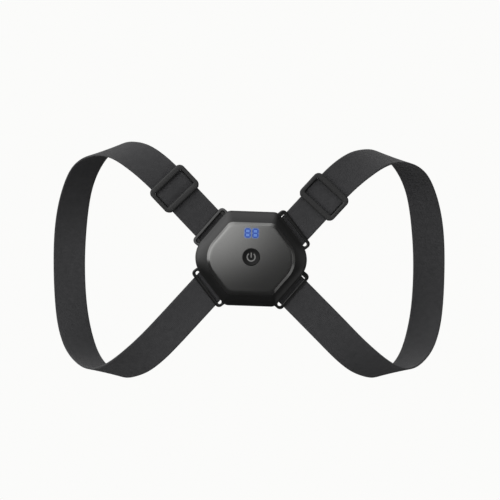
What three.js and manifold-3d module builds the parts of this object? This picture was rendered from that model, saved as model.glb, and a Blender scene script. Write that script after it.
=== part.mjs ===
// Posture corrector: a hexagonal module worn between the shoulder blades, with a webbing loop on each side
// Millimetres, +Z up. The origin is the middle of the module's flat back, which lies on the wearer's back.
// The front of the module faces -Y, and the shoulders are on the +Y side.
import * as THREE from "three";
import { mergeVertices } from "three/addons/utils/BufferGeometryUtils.js";
import Module from "manifold-3d";

// Module outline: a hexagon with flat top and bottom edges and wide rounded left and right corners
const HOUSING = { halfHeight: 34.1, diagonalDistance: 35.5, sideRadius: 19.4, cornerRadius: 6 };
const PANEL = { halfHeight: 26, diagonalDistance: 29, sideRadius: 19.7, cornerRadius: 6 };
const DIAGONAL_NORMAL = 39.2; // degrees from horizontal to the normal of a diagonal edge
const ARC_STEPS = 7; // facets of one rounded corner

// Module heights, counted from the back face towards the front
const COVER_THICKNESS = 1.9;
const COVER_EDGE = 0.6; // chamfer round the back
const COVER_RIB_LENGTH = 14;
const RIM_HEIGHT = 7.4; // front edge of the side wall
const RIM_EDGE = 0.7; // rounding between the side wall and the bezel
const RIM_STEPS = 2;
const BEZEL_HEIGHT = 11; // inner edge of the sloping bezel
const BEZEL_BULGE = 0.4; // rise of its middle above a straight slope
const PANEL_HEIGHT = 13; // front edge of the panel's chamfer
const PANEL_CHAMFER = 2;
const PANEL_STEP = 0.25; // upright edge of the panel that stands above the bezel
const PANEL_DOME = 1;
const DOME_RINGS = 4;
const PANEL_THICKNESS = 1.1; // part of the panel that is sunk in the shell
const SHELL_WALL = 2;
const FIT_GAP = 0.3; // clearance between pieces that touch
const CUT_RUN = 1; // how far a cut or a root runs past the face that it goes through

// Strap lugs: a slotted ear on each diagonal edge
const LUG_SHIFT = 2; // slot middle towards the side corner, from the middle of the diagonal edge
const SLOT_WIDTH = 2.9;
const SLOT_END_GAP = 2; // open slot beside the webbing, at each end
const SLOT_SEAT = 0.05; // slot's inner side to the housing's diagonal edge
const LUG_BAR = 2.4;
const LUG_END = 2;
const LUG_CORNER = 3.2;
const LUG_ROOT = 3; // how far the ear reaches into the housing's wall and rim
const LUG_THICKNESS = 2.2; // at the slot's middle
const LUG_SLOPE = 0.35; // fall of the lug's front towards its outer bar, in mm per mm
const LUG_FLOOR = 0.7; // thickness of the skin that closes a slot's end beside the webbing
const LUG_BEVEL = 0.5;
const CLAMP_RIB = 2.5;
const CLAMP_INSET = 5; // rib middle to the housing's diagonal edge
const MOUTH_INSET = 0.5; // the mouth for the webbing is narrower than the slot by this at each end

// Power button
const BUTTON_UP = 1.2; // above the module's middle
const BUTTON_RADIUS = 6.3;
const BUTTON_EDGE = 0.4; // rounding of its front edge
const BUTTON_FLANGE = 1;
const BUTTON_FLANGE_THICKNESS = 0.8;
const BUTTON_DISH = 0.35;
const DISH_RINGS = 3;
const BUTTON_TRAVEL = 0.5;
const BUTTON_BELOW_PANEL = 0.1;
const BUTTON_FACETS = 40;

// Webbing
const WEB_WIDTH = 25;
const WEB_THICKNESS = 1.5;
const WEB_TAIL = 7; // length of webbing inside the module, from the housing's diagonal edge
const WEB_STEP = 5; // length of one facet round the loop
const WEB_FINE_STEP = 1; // length of one facet near the slider
const LOOP_DEPTH = 92; // from the plane of the module's straps to the front of the shoulder
const LOOP_ROLL = 2; // degrees that the pair of loops hangs turned against the module
const CURVE_PASSES = 12; // rounds of fitting the smooth line to its sections

// Outermost, highest and lowest place of the webbing's middle line, and the slider's distance from its slot.
// The loops hang a little unlike each other.
const LOOP_REACH = 142.4;
const LOOP_RISE = 78.9;
const LOOP_DROP = 85.8;
const SLIDER_ALONG = 35.2;
const LOOPS = {
  left: { side: -1, reach: LOOP_REACH + 1.5, rise: LOOP_RISE + 2.6, sliderAlong: SLIDER_ALONG + 2.8 },
  right: { side: 1, reach: LOOP_REACH - 1.5, rise: LOOP_RISE - 3, sliderAlong: SLIDER_ALONG - 2.8 },
};

// Way of the webbing round a shoulder, from the upper run, over the shoulder, under the arm to the lower run.
// out, up and back are shares of reach, of rise or drop, and of depth. fold is the slope of the width line in
// degrees, falling away from the module where it is positive, and lean its turn out of the front plane.
const WAY_COLUMNS = ["out", "up", "back", "fold", "lean"];
const WAY = [
  [0.46, 0.76, 0, 18, 0],
  [0.55, 0.885, 0.065, 18, 0],
  [0.65, 0.98, 0.215, 19, 0],
  [0.76, 1, 0.5, 20, 0],
  [0.872, 0.905, 0.8, 14, 18],
  [0.947, 0.686, 0.945, 6, 28],
  [0.988, 0.357, 1, 1, 14],
  [1, -0.04, 1, 0, 0],
  [0.99, -0.43, 1, -2, 2],
  [0.955, -0.71, 0.945, -6, 12],
  [0.885, -0.91, 0.795, -11, 16],
  [0.768, -1, 0.49, -13, 0],
  [0.647, -0.94, 0.185, -13, 0],
  [0.53, -0.8, 0.045, -13, 0],
  [0.428, -0.634, 0, -13, 0],
].map((row) => Object.fromEntries(row.map((value, i) => [WAY_COLUMNS[i], value])));

// Sliders, along and across the webbing
const WINDOW_LENGTH = 13.3;
const WINDOW_CORNER = 0.6;
const MODULE_SIDE_BAR = 4.4;
const SHOULDER_SIDE_BAR = 4.5;
const SLIDER_RAIL = 3.1;
const SLIDER_SIDE_GAP = 0.4; // webbing to rail
const SLIDER_LIP = 1.2; // how far each rail reaches in behind the webbing
const SLIDER_LIP_THICKNESS = 0.8;
const SLIDER_CORNER = 4.2;
const SLIDER_BAR_THICKNESS = 1.9;
const MIDDLE_BAR_LENGTH = 4.5;
const MIDDLE_BAR_THICKNESS = 1.6;
const SLIDER_BEVEL = 0.5;
const WEB_LIFT = 1.2; // rise of the webbing over the slider's middle bar

const COLOURS = {
  shell: 0x2a2a29,
  panel: 0x6b6b69,
  button: 0x111111,
  cover: 0x262626,
  webbing: 0x39393a,
  slider: 0x2c2c2c,
};

const wasm = await Module();
wasm.setup();
const radians = THREE.MathUtils.degToRad;

// Heights that follow from the sizes above, as places on Y
const webMiddle = -(COVER_THICKNESS + FIT_GAP + WEB_THICKNESS / 2);
const webFront = webMiddle - WEB_THICKNESS / 2;
const lugBack = webFront - FIT_GAP;
const shellBack = -(COVER_THICKNESS + FIT_GAP);
const recessFloor = -(BEZEL_HEIGHT - PANEL_THICKNESS - FIT_GAP);
const cavityTop = recessFloor + SHELL_WALL;

// The slot's inner side lies on the housing's diagonal edge
const slotToEdge = SLOT_WIDTH / 2 + SLOT_SEAT;
const slotLength = WEB_WIDTH + 2 * SLOT_END_GAP;

// Places along the webbing from the slider's middle, and widths across it
const sliderLength = MODULE_SIDE_BAR + WINDOW_LENGTH + SHOULDER_SIDE_BAR;
const windowStart = MODULE_SIDE_BAR - sliderLength / 2;
const windowMiddle = windowStart + WINDOW_LENGTH / 2;
const windowWidth = WEB_WIDTH + 2 * SLIDER_SIDE_GAP;
const sliderWidth = windowWidth + 2 * SLIDER_RAIL;

function material(colour, roughness, metalness) {
  return new THREE.MeshStandardMaterial({ color: colour, roughness, metalness });
}

function solidOf(geometry) {
  const bare = geometry.clone();
  bare.deleteAttribute("normal");
  bare.deleteAttribute("uv");
  const merged = mergeVertices(bare, 1e-4);
  return new wasm.Manifold(
    new wasm.Mesh({
      numProp: 3,
      vertProperties: merged.attributes.position.array,
      triVerts: new Uint32Array(merged.index.array),
    }),
  );
}

function geometryOf(solid) {
  const mesh = solid.getMesh();
  const geometry = new THREE.BufferGeometry();
  geometry.setAttribute("position", new THREE.BufferAttribute(mesh.vertProperties, 3));
  geometry.setIndex(new THREE.BufferAttribute(mesh.triVerts, 1));
  geometry.computeVertexNormals();
  return geometry;
}

function named(name, geometry, look) {
  const mesh = new THREE.Mesh(geometry, look);
  mesh.name = name;
  return mesh;
}

// Points of the rounded hexagon, anticlockwise as the front is seen, pulled in by inset all round
function hexagon(outline, inset = 0) {
  const normal = radians(DIAGONAL_NORMAL);
  const top = outline.halfHeight - inset;
  const diagonal = outline.diagonalDistance - inset;
  const sideRadius = outline.sideRadius - inset;
  const cornerRadius = Math.max(outline.cornerRadius - inset, 0);
  const sideMiddle = (diagonal - sideRadius) / Math.cos(normal);
  const cornerHeight = top - cornerRadius;
  const cornerMiddle = (diagonal - cornerRadius - cornerHeight * Math.sin(normal)) / Math.cos(normal);
  const arcs = [
    [sideMiddle, 0, sideRadius, -normal, normal],
    [cornerMiddle, cornerHeight, cornerRadius, normal, Math.PI / 2],
    [-cornerMiddle, cornerHeight, cornerRadius, Math.PI / 2, Math.PI - normal],
    [-sideMiddle, 0, sideRadius, Math.PI - normal, Math.PI + normal],
    [-cornerMiddle, -cornerHeight, cornerRadius, Math.PI + normal, 1.5 * Math.PI],
    [cornerMiddle, -cornerHeight, cornerRadius, 1.5 * Math.PI, 2 * Math.PI - normal],
  ];
  return arcs.flatMap(([x, z, radius, from, to]) =>
    Array.from({ length: ARC_STEPS + 1 }, (_, i) => {
      const angle = from + ((to - from) * i) / ARC_STEPS;
      return new THREE.Vector2(x + radius * Math.cos(angle), z + radius * Math.sin(angle));
    }),
  );
}

// Closed solid through rings of points that all have the same number of points, the last ring foremost
function loft(rings) {
  const count = rings[0].length;
  const points = rings.flat();
  const faces = [];
  for (let ring = 0; ring < rings.length - 1; ring++) {
    for (let i = 0; i < count; i++) {
      const a = ring * count + i;
      const b = ring * count + ((i + 1) % count);
      faces.push(a, b, b + count, a, b + count, a + count);
    }
  }
  const sumOf = (ring) => ring.reduce((sum, point) => sum.add(point), new THREE.Vector3());
  const middleOf = (ring) => sumOf(ring).divideScalar(count);
  const first = points.push(middleOf(rings[0])) - 1;
  const last = points.push(middleOf(rings.at(-1))) - 1;
  const lastRing = (rings.length - 1) * count;
  for (let i = 0; i < count; i++) {
    const next = (i + 1) % count;
    faces.push(first, next, i, last, lastRing + i, lastRing + next);
  }
  return new THREE.BufferGeometry().setFromPoints(points).setIndex(faces);
}

const ringAt = (points, y) => points.map((p) => new THREE.Vector3(p.x, y, p.y));

// Shortest straight side between two round corners
const STRAIGHT_BIT = 0.01;

// Extruded shape that stands in the front plane, from back to front
function plate(shape, back, front, bevel = 0) {
  const geometry = new THREE.ExtrudeGeometry(shape, {
    depth: back - front - 2 * bevel,
    bevelEnabled: bevel > 0,
    bevelSize: bevel,
    bevelThickness: bevel,
    bevelOffset: -bevel,
    bevelSegments: 2,
    curveSegments: 6,
  });
  geometry.rotateX(Math.PI / 2);
  geometry.translate(0, back - bevel, 0);
  return geometry;
}

function roundedRectangle(left, right, bottom, top, corner) {
  const radius = Math.min(corner, (right - left) / 2 - STRAIGHT_BIT);
  const shape = new THREE.Shape();
  shape.moveTo(left + radius, bottom);
  shape.lineTo(right - radius, bottom);
  shape.absarc(right - radius, bottom + radius, radius, -Math.PI / 2, 0);
  shape.lineTo(right, top - radius);
  shape.absarc(right - radius, top - radius, radius, 0, Math.PI / 2);
  shape.lineTo(left + radius, top);
  shape.absarc(left + radius, top - radius, radius, Math.PI / 2, Math.PI);
  shape.lineTo(left, bottom + radius);
  shape.absarc(left + radius, bottom + radius, radius, Math.PI, 1.5 * Math.PI);
  return shape;
}

function block(xFrom, xTo, yFrom, yTo, zFrom, zTo) {
  const box = new THREE.BoxGeometry(xTo - xFrom, yTo - yFrom, zTo - zFrom);
  return box.translate((xFrom + xTo) / 2, (yFrom + yTo) / 2, (zFrom + zTo) / 2);
}

function disc(radius, yFrom, yTo) {
  const cylinder = new THREE.CylinderGeometry(radius, radius, yTo - yFrom, BUTTON_FACETS);
  return cylinder.translate(0, (yFrom + yTo) / 2, BUTTON_UP);
}

// The four lugs: sideways sign, upward sign, and the turn that brings +X onto the outward normal
// floors: length of the closing skin at the slot's first and second end, turning clockwise round the module
const LUGS = [
  { side: -1, upward: 1, floors: [2.4, 2.4] },
  { side: 1, upward: 1, floors: [0, 1.5] },
  { side: -1, upward: -1, floors: [0, 0] },
  { side: 1, upward: -1, floors: [0, 1.5] },
].map((lug) => {
  const sine = Math.sin(radians(DIAGONAL_NORMAL));
  const cosine = Math.cos(radians(DIAGONAL_NORMAL));
  const distance = HOUSING.diagonalDistance + slotToEdge;
  const x = lug.side * (distance * cosine + LUG_SHIFT * sine);
  const z = lug.upward * (distance * sine - LUG_SHIFT * cosine);
  const middle = new THREE.Vector3(x, 0, z);
  const turn = new THREE.Matrix4().makeRotationY(-Math.atan2(lug.upward * sine, lug.side * cosine));
  return { ...lug, middle, placed: new THREE.Matrix4().makeTranslation(middle).multiply(turn) };
});

// Lets the front of a lug fall away from the housing
function sloped(geometry) {
  const place = geometry.attributes.position;
  for (let i = 0; i < place.count; i++) {
    const share = (lugBack - place.getY(i)) / LUG_THICKNESS;
    place.setY(i, place.getY(i) + LUG_SLOPE * place.getX(i) * share);
  }
  return geometry;
}

// Front shell: sloping bezel, hollow inside, with the lugs, mouths for the webbing and a rib over each end
function frontShell() {
  const outline = hexagon(HOUSING);
  const recessed = hexagon(PANEL, -FIT_GAP);
  const hollow = hexagon(HOUSING, SHELL_WALL);
  const rim = Array.from({ length: RIM_STEPS }, (_, i) => {
    const angle = ((i + 1) / RIM_STEPS) * (Math.PI / 2);
    const inset = RIM_EDGE * (1 - Math.cos(angle));
    return ringAt(hexagon(HOUSING, inset), -(RIM_HEIGHT - RIM_EDGE) - RIM_EDGE * Math.sin(angle));
  });
  const head = ringAt(recessed, -BEZEL_HEIGHT);
  const bulge = rim.at(-1).map((p, i) => p.clone().lerp(head[i], 1 / 2).setY((p.y + head[i].y) / 2 - BEZEL_BULGE));
  const wall = [ringAt(outline, shellBack), ringAt(outline, -(RIM_HEIGHT - RIM_EDGE))];
  const outer = loft([...wall, ...rim, bulge, head]);
  const cavity = loft([ringAt(hollow, shellBack + CUT_RUN), ringAt(hollow, cavityTop)]);
  const recess = loft([ringAt(recessed, recessFloor), ringAt(recessed, -BEZEL_HEIGHT - CUT_RUN)]);
  const earHalf = slotLength / 2 + LUG_END;
  const slotHalf = SLOT_WIDTH / 2;
  const ear = roundedRectangle(-slotHalf - LUG_ROOT, slotHalf + LUG_BAR, -earHalf, earHalf, LUG_CORNER);
  const slot = roundedRectangle(-slotHalf, slotHalf, -slotLength / 2, slotLength / 2, slotHalf);
  const mouthHalf = slotLength / 2 - MOUTH_INSET;
  const ribStart = -slotToEdge - CLAMP_INSET - CLAMP_RIB / 2;
  const mouth = block(ribStart - CLAMP_RIB / 2, 0, lugBack, shellBack + CUT_RUN, -mouthHalf, mouthHalf);
  const rib = block(ribStart, ribStart + CLAMP_RIB, cavityTop - CUT_RUN, lugBack, -mouthHalf, mouthHalf);
  let shell = solidOf(outer).subtract(solidOf(cavity)).subtract(solidOf(recess));
  for (const lug of LUGS) {
    const at = (geometry) => solidOf(geometry.clone().applyMatrix4(lug.placed));
    shell = shell.add(at(sloped(plate(ear, lugBack, lugBack - LUG_THICKNESS, LUG_BEVEL))));
    shell = shell.subtract(at(plate(slot, shellBack + CUT_RUN, -RIM_HEIGHT - CUT_RUN)));
    for (const [end, length] of lug.floors.entries()) {
      if (length === 0) continue;
      const reach = [slotLength / 2 - length, slotLength / 2 + LUG_END / 2];
      const [low, high] = end === 0 ? [-reach[1], -reach[0]] : reach;
      const skinHalf = slotHalf + LUG_BAR / 2;
      shell = shell.add(at(block(-skinHalf, skinHalf, lugBack - LUG_FLOOR, lugBack, low, high)));
    }
    shell = shell.subtract(at(mouth)).add(at(rib));
  }
  return geometryOf(shell);
}

// Face panel: chamfered and slightly domed, sunk in the shell's recess, bored for the button
function facePanel() {
  const edge = hexagon(PANEL);
  const front = hexagon(PANEL, PANEL_CHAMFER);
  const back = recessFloor - FIT_GAP;
  const halfWidth = Math.max(...front.map((p) => p.x));
  const halfHeight = PANEL.halfHeight - PANEL_CHAMFER;
  const faceAt = (x, z) => -PANEL_HEIGHT - PANEL_DOME * (1 - (x / halfWidth) ** 2 - (z / halfHeight) ** 2);
  const faceRings = Array.from({ length: DOME_RINGS + 1 }, (_, i) => {
    const scale = 1 - i / (DOME_RINGS + 1);
    return front.map((p) => new THREE.Vector3(p.x * scale, faceAt(p.x * scale, p.y * scale), p.y * scale));
  });
  const body = loft([ringAt(edge, back), ringAt(edge, -BEZEL_HEIGHT - PANEL_STEP), ...faceRings]);
  const bore = disc(BUTTON_RADIUS + FIT_GAP, buttonFront - CUT_RUN, back + CUT_RUN);
  const counterbore = disc(BUTTON_RADIUS + BUTTON_FLANGE + FIT_GAP, flangeFront - FIT_GAP, back + CUT_RUN);
  return geometryOf(solidOf(body).subtract(solidOf(bore)).subtract(solidOf(counterbore)));
}

// Power button: a dished disc with a flange that keeps it under the panel, free to travel towards the back
const buttonFront = -(PANEL_HEIGHT + PANEL_DOME - BUTTON_BELOW_PANEL);
const flangeBack = recessFloor - FIT_GAP - BUTTON_TRAVEL;
const flangeFront = flangeBack - BUTTON_FLANGE_THICKNESS;

function powerButton() {
  const flat = BUTTON_RADIUS - BUTTON_EDGE;
  const dish = Array.from({ length: DISH_RINGS + 1 }, (_, i) => {
    const share = 1 - i / DISH_RINGS;
    return [flat * share, buttonFront + BUTTON_DISH * (1 - share * share)];
  });
  const profile = [
    [0, flangeBack],
    [BUTTON_RADIUS + BUTTON_FLANGE, flangeBack],
    [BUTTON_RADIUS + BUTTON_FLANGE, flangeFront],
    [BUTTON_RADIUS, flangeFront],
    [BUTTON_RADIUS, buttonFront + BUTTON_EDGE],
    ...dish,
  ].map(([radius, y]) => new THREE.Vector2(radius, y)).reverse();
  return geometryOf(solidOf(new THREE.LatheGeometry(profile, BUTTON_FACETS).translate(0, 0, BUTTON_UP)));
}

// Back cover: a flat plate with a chamfered edge and two ribs that centre it in the shell
function backCover() {
  const base = loft([
    ringAt(hexagon(HOUSING, COVER_EDGE), 0),
    ringAt(hexagon(HOUSING), -COVER_EDGE),
    ringAt(hexagon(HOUSING), -COVER_THICKNESS),
  ]);
  let cover = solidOf(base);
  const ribMiddle = HOUSING.halfHeight - SHELL_WALL - FIT_GAP - SHELL_WALL / 2;
  const ribHalf = COVER_RIB_LENGTH / 2;
  for (const up of [-ribMiddle, ribMiddle]) {
    const [low, high] = [up - SHELL_WALL / 2, up + SHELL_WALL / 2];
    cover = cover.add(solidOf(block(-ribHalf, ribHalf, -RIM_HEIGHT / 2, -COVER_THICKNESS / 2, low, high)));
  }
  return geometryOf(cover);
}

// Sections of one strap: its two hidden ends and slots from the module, the loop from the table
function strapSections(loop) {
  const turned = (vector) => vector.applyAxisAngle(new THREE.Vector3(0, 1, 0), -radians(LOOP_ROLL));
  const round = WAY.map((row) => {
    const fold = radians(row.fold);
    const lean = radians(row.lean);
    const x = loop.side * row.out * loop.reach;
    const y = webMiddle + row.back * LOOP_DEPTH;
    const z = row.up * (row.up > 0 ? loop.rise : LOOP_DROP);
    const inFrontPlane = new THREE.Vector3(Math.cos(fold), 0, -loop.side * Math.sin(fold));
    return {
      place: turned(new THREE.Vector3(x, y, z)),
      across: turned(inFrontPlane.multiplyScalar(Math.cos(lean)).setY(-loop.side * Math.sin(lean))),
    };
  });
  const [upper, lower] = [1, -1].map((upward) => {
    const lug = LUGS.find((each) => each.side === loop.side && each.upward === upward);
    const run = upward > 0 ? round[0] : round.at(-1);
    const slot = lug.middle.clone().setY(webMiddle);
    const along = run.place.clone().sub(slot).normalize();
    const at = (distance) => ({ place: slot.clone().addScaledVector(along, distance), across: run.across });
    return { at, length: run.place.distanceTo(slot), along };
  });
  const tail = slotToEdge + WEB_TAIL;
  const start = [upper.at(-tail), upper.at(0), upper.at(loop.sliderAlong)];
  const end = [lower.at(lower.length / 2), lower.at(0), lower.at(-tail)];
  const sections = [...start, ...round, ...end];
  return { sections, fixedStart: start.length + 1, fixedEnd: end.length + 1, upper };
}

// Smooth line through the sections: a cubic B-spline's handles are moved until it passes through the free ones
function smoothLine({ sections, fixedStart, fixedEnd }) {
  const numbers = sections.map(({ place, across }) => [...place.toArray(), ...across.toArray()]);
  const handles = numbers.map((row) => [...row]);
  for (let pass = 0; pass < CURVE_PASSES; pass++) {
    for (let i = fixedStart; i < handles.length - fixedEnd; i++) {
      const [wanted, before, after] = [numbers[i], handles[i - 1], handles[i + 1]];
      handles[i] = handles[i].map((value, k) => value + wanted[k] - (before[k] + 4 * value + after[k]) / 6);
    }
  }
  const mirrored = (a, b) => a.map((value, k) => 2 * value - b[k]);
  return [mirrored(handles[0], handles[1]), ...handles, mirrored(handles.at(-1), handles.at(-2))];
}

function pointOn(handles, span, t) {
  const weights = [(1 - t) ** 3, 3 * t ** 3 - 6 * t ** 2 + 4, -3 * t ** 3 + 3 * t ** 2 + 3 * t + 1, t ** 3];
  const weighed = (k) => weights.reduce((total, weight, i) => total + (weight * handles[span + i][k]) / 6, 0);
  const sum = handles[span].map((_, k) => weighed(k));
  return { place: new THREE.Vector3(...sum.slice(0, 3)), across: new THREE.Vector3(...sum.slice(3)) };
}

// How far the webbing stands out over the slider's middle bar, by distance along the webbing from the bar
function webLift(distance) {
  const flat = MIDDLE_BAR_LENGTH / 2;
  const run = WINDOW_LENGTH / 2 - flat - FIT_GAP;
  const share = THREE.MathUtils.clamp((Math.abs(distance) - flat) / run, 0, 1);
  return (WEB_LIFT * (1 + Math.cos(Math.PI * share))) / 2;
}

function strap(loop) {
  const laid = strapSections(loop);
  const handles = smoothLine(laid);
  const middleBar = laid.upper.at(loop.sliderAlong + windowMiddle).place;
  const stations = [];
  for (let span = 0; span < handles.length - 3; span++) {
    const length = pointOn(handles, span, 0).place.distanceTo(pointOn(handles, span, 1).place);
    const step = span === 1 || span === 2 ? WEB_FINE_STEP : WEB_STEP;
    const count = Math.ceil(length / step);
    const lastSpan = span === handles.length - 4;
    for (let i = 0; i < count + (lastSpan ? 1 : 0); i++) stations.push(pointOn(handles, span, i / count));
  }
  const rings = stations.map(({ place, across }, i) => {
    const before = stations[Math.max(i - 1, 0)].place;
    const after = stations[Math.min(i + 1, stations.length - 1)].place;
    const along = after.clone().sub(before).normalize();
    const width = across.clone().addScaledVector(along, -across.dot(along)).normalize();
    const outward = along.clone().cross(width).normalize();
    const lift = webLift(place.distanceTo(middleBar));
    const middle = place.clone().setY(place.y - lift);
    width.multiplyScalar(WEB_WIDTH / 2);
    outward.multiplyScalar(WEB_THICKNESS / 2);
    return [[-1, -1], [1, -1], [1, 1], [-1, 1]].map(([a, b]) =>
      middle.clone().addScaledVector(width, a).addScaledVector(outward, b),
    );
  });
  return geometryOf(solidOf(loft(rings)));
}

// Slider: front frame with a window, side rails with a lip behind the webbing, and a middle bar behind it
function slider(loop) {
  const [halfWindow, halfWidth, halfLength] = [windowWidth / 2, sliderWidth / 2, sliderLength / 2];
  const front = lugBack - SLIDER_BAR_THICKNESS;
  const lipFront = webMiddle + WEB_THICKNESS / 2 + FIT_GAP;
  const back = lipFront + SLIDER_LIP_THICKNESS;
  const barFront = lipFront - WEB_LIFT;
  const barStart = windowMiddle - MIDDLE_BAR_LENGTH / 2;
  const barHalf = halfWindow + CUT_RUN;
  const windowEnd = windowStart + WINDOW_LENGTH;
  const betweenLips = halfWindow - SLIDER_LIP;
  const outline = roundedRectangle(-halfLength, halfLength, -halfWidth, halfWidth, SLIDER_CORNER);
  const opening = roundedRectangle(windowStart, windowEnd, -halfWindow, halfWindow, WINDOW_CORNER);
  const channel = block(-sliderLength, sliderLength, lugBack, lipFront, -halfWindow, halfWindow);
  const behind = block(-sliderLength, windowEnd, lugBack, back + CUT_RUN, -betweenLips, betweenLips);
  const pastLips = block(windowEnd, sliderLength, lugBack, back + CUT_RUN, -halfWindow, halfWindow);
  const barEnd = barStart + MIDDLE_BAR_LENGTH;
  const middleBar = block(barStart, barEnd, barFront, barFront + MIDDLE_BAR_THICKNESS, -barHalf, barHalf);
  const body = solidOf(plate(outline, back, front, SLIDER_BEVEL))
    .subtract(solidOf(plate(opening, lipFront, front - CUT_RUN)))
    .subtract(solidOf(channel))
    .subtract(solidOf(behind))
    .subtract(solidOf(pastLips))
    .add(solidOf(middleBar));
  const geometry = geometryOf(body);
  const { upper } = strapSections(loop);
  geometry.rotateY(-Math.atan2(upper.along.z, upper.along.x));
  const place = upper.at(loop.sliderAlong).place;
  return geometry.translate(place.x, 0, place.z);
}

const plastic = material(COLOURS.shell, 0.45, 0);
const satin = material(COLOURS.panel, 0.35, 0.6);
const gloss = material(COLOURS.button, 0.2, 0);
const coverPlastic = material(COLOURS.cover, 0.6, 0);
const webbing = material(COLOURS.webbing, 0.95, 0);
const sliderPlastic = material(COLOURS.slider, 0.5, 0);

const corrector = new THREE.Group();
corrector.add(named("front_shell", frontShell(), plastic));
corrector.add(named("face_panel", facePanel(), satin));
corrector.add(named("power_button", powerButton(), gloss));
corrector.add(named("back_cover", backCover(), coverPlastic));
for (const [name, loop] of Object.entries(LOOPS)) {
  corrector.add(named(`${name}_strap`, strap(loop), webbing));
  corrector.add(named(`${name}_slider`, slider(loop), sliderPlastic));
}

export default corrector;
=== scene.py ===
import bpy
import math
from mathutils import Matrix, Vector


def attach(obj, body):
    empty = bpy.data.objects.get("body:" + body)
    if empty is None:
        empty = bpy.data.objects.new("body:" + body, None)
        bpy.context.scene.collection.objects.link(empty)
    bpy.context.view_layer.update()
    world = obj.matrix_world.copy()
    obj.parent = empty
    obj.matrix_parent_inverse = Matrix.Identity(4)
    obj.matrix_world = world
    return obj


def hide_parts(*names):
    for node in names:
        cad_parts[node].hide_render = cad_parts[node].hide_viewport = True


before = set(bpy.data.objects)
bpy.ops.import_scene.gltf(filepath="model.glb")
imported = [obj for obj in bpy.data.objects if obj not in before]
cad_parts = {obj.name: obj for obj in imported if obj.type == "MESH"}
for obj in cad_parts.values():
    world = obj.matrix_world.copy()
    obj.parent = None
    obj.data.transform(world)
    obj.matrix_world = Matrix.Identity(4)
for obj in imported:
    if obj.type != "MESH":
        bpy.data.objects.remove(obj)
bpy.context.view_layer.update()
MM = 0.001


# Front shell
# The dark moulded housing: a hexagon with wide round left and right corners and a bezel that slopes up to the
# panel. It is one piece of glass-filled nylon with four slotted ears, and a pocket behind each ear takes a
# webbing end.
HOUSING = {"half_height": 34.1, "diagonal": 35.5, "side_radius": 19.4, "corner_radius": 6.0}
PANEL = {"half_height": 26.0, "diagonal": 29.0, "side_radius": 19.7, "corner_radius": 6.0}
DIAGONAL_NORMAL = math.radians(39.2)
SIDE_STEPS = 36
CORNER_STEPS = 12
FLAT_STEPS = 10
FIT_GAP = 0.3
CUT_RUN = 1.0
SHELL_BACK = -2.2
SHELL_BACK_EDGE = 0.25
RIM_FRONT = -7.4
RIM_ROUND = 0.8
BEZEL_FRONT = -11.0
BEZEL_BULGE = 0.4
BEZEL_STEPS = 8
PANEL_SEAM = 0.03
RECESS_FLOOR = -9.6
EAR_SHIFT = 2.0
EAR_BACK = -4.05
EAR_FRONT = -6.25
EAR_SLOPE = 0.35
SLOT_WIDTH = 2.9
SLOT_LENGTH = 29.0
SLOT_SEAT = 0.05
EAR_BAR = 2.4
EAR_END = 2.0
EAR_CORNER = 3.2
EAR_ROOT = 3.0
# Length of the thin floor that closes each slot's end, on the end that local Z starts from and on the other
EAR_FLOORS = {(-1, 1): (2.4, 2.4), (1, 1): (0, 1.5), (-1, -1): (0, 0), (1, -1): (0, 1.5)}
EAR_FLOOR = 0.7
POCKET_DEPTH = 8.0
POCKET_INSET = 0.5
POCKET_CORNER = 0.3
SHELL_COLOUR = (0.004, 0.004, 0.0039)
SHELL_ROUGHNESS = 0.36
SHELL_SPECULAR = 0.3


def hexagon(outline, inset=0.0):
    """Points of the rounded hexagon in the front plane, pulled in by inset all round, in millimetres."""
    top = outline["half_height"] - inset
    diagonal = outline["diagonal"] - inset
    side_radius = outline["side_radius"] - inset
    corner_radius = max(outline["corner_radius"] - inset, 0.2)
    sine, cosine = math.sin(DIAGONAL_NORMAL), math.cos(DIAGONAL_NORMAL)
    side = (diagonal - side_radius) / cosine
    height = top - corner_radius
    corner = (diagonal - corner_radius - height * sine) / cosine
    quarter, turn = math.pi / 2, DIAGONAL_NORMAL
    arcs = [
        (side, 0, side_radius, -turn, turn, SIDE_STEPS),
        (corner, height, corner_radius, turn, quarter, CORNER_STEPS),
        (-corner, height, corner_radius, quarter, 2 * quarter - turn, CORNER_STEPS),
        (-side, 0, side_radius, 2 * quarter - turn, 2 * quarter + turn, SIDE_STEPS),
        (-corner, -height, corner_radius, 2 * quarter + turn, 3 * quarter, CORNER_STEPS),
        (corner, -height, corner_radius, 3 * quarter, 4 * quarter - turn, CORNER_STEPS),
    ]
    rounds = []
    for x, z, radius, start, end, steps in arcs:
        angles = [start + (end - start) * i / steps for i in range(steps + 1)]
        rounds.append([(x + radius * math.cos(a), z + radius * math.sin(a)) for a in angles])
    points = []
    for here, ahead in zip(rounds, rounds[1:] + rounds[:1]):
        flat = [between([here[-1]], [ahead[0]], i / FLAT_STEPS)[0] for i in range(1, FLAT_STEPS)]
        points += here + flat
    return points


def rounded_rectangle(left, right, low, high, radius, steps=8):
    """Points of a rectangle with round corners, anticlockwise from the lower right corner."""
    points = []
    corners = [(right, low, -1, 1), (right, high, -1, -1), (left, high, 1, -1), (left, low, 1, 1)]
    for index, (x, z, inward_x, inward_z) in enumerate(corners):
        for i in range(steps + 1):
            angle = math.pi / 2 * (index - 1 + i / steps)
            middle_x, middle_z = x + inward_x * radius, z + inward_z * radius
            points.append((middle_x + radius * math.cos(angle), middle_z + radius * math.sin(angle)))
    return points


def at_depth(points, y):
    return [(x, y, z) for x, z in points]


def between(first, second, share):
    return [tuple(a + (b - a) * share for a, b in zip(p, q)) for p, q in zip(first, second)]


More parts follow.
